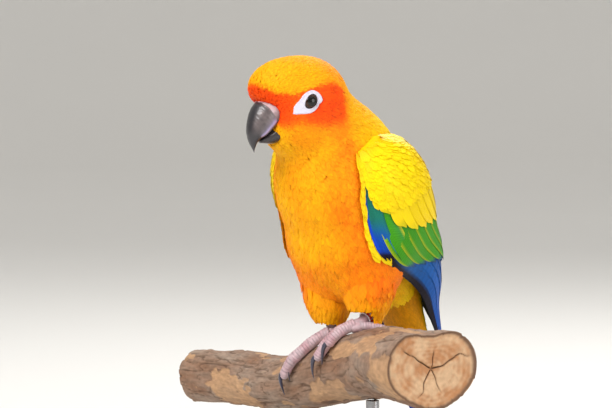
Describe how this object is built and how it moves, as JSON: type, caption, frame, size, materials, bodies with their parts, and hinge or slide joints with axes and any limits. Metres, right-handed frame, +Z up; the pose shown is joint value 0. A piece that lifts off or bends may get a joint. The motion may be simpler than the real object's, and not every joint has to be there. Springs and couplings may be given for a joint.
{
  "type": "bird model",
  "caption": "Life-size still model of a sun conure perched on a short branch, orange and yellow with green and blue wings, on a round display stand.",
  "frame": {"origin": "middle of the stand's column line on the flat underside of the base, at floor level", "axes": "+Z up; the bird looks along -Y; its left is +X; the perch runs nearly along X"},
  "size_m": [0.1927, 0.1482, 0.2593],
  "materials": {
    "face_feather": "soft feather",
    "body_feather": "soft feather",
    "wing_feather": "smooth feather",
    "tail_feather": "smooth feather",
    "bill_horn": "layered horn",
    "bare_skin": "bare skin",
    "eye": "wet gloss",
    "foot_skin": "fine scales",
    "ring_plastic": "coloured leg ring",
    "ring_steel": "thin metal leg ring",
    "bark": "peeling bark",
    "stand_paint": "satin dark paint",
    "stand_steel": "plain steel rod"
  },
  "bodies": {
    "root": {"head": "face_feather", "neck": "body_feather", "torso": "body_feather", "thigh_left": "body_feather", "thigh_right": "body_feather", "wing_left": "wing_feather", "wing_right": "wing_feather", "tail": "tail_feather", "bill_upper": "bill_horn", "bill_lower": "bill_horn", "cere": "bare_skin", "lids_left": "bare_skin", "lids_right": "bare_skin", "eye_left": "eye", "eye_right": "eye", "foot_left": "foot_skin", "foot_right": "foot_skin", "ring_red": "ring_plastic", "ring_metal": "ring_steel", "perch": "bark", "stand_base": "stand_paint", "stand_rod_left": "stand_steel", "stand_rod_right": "stand_steel"}
  },
  "joints": []
}
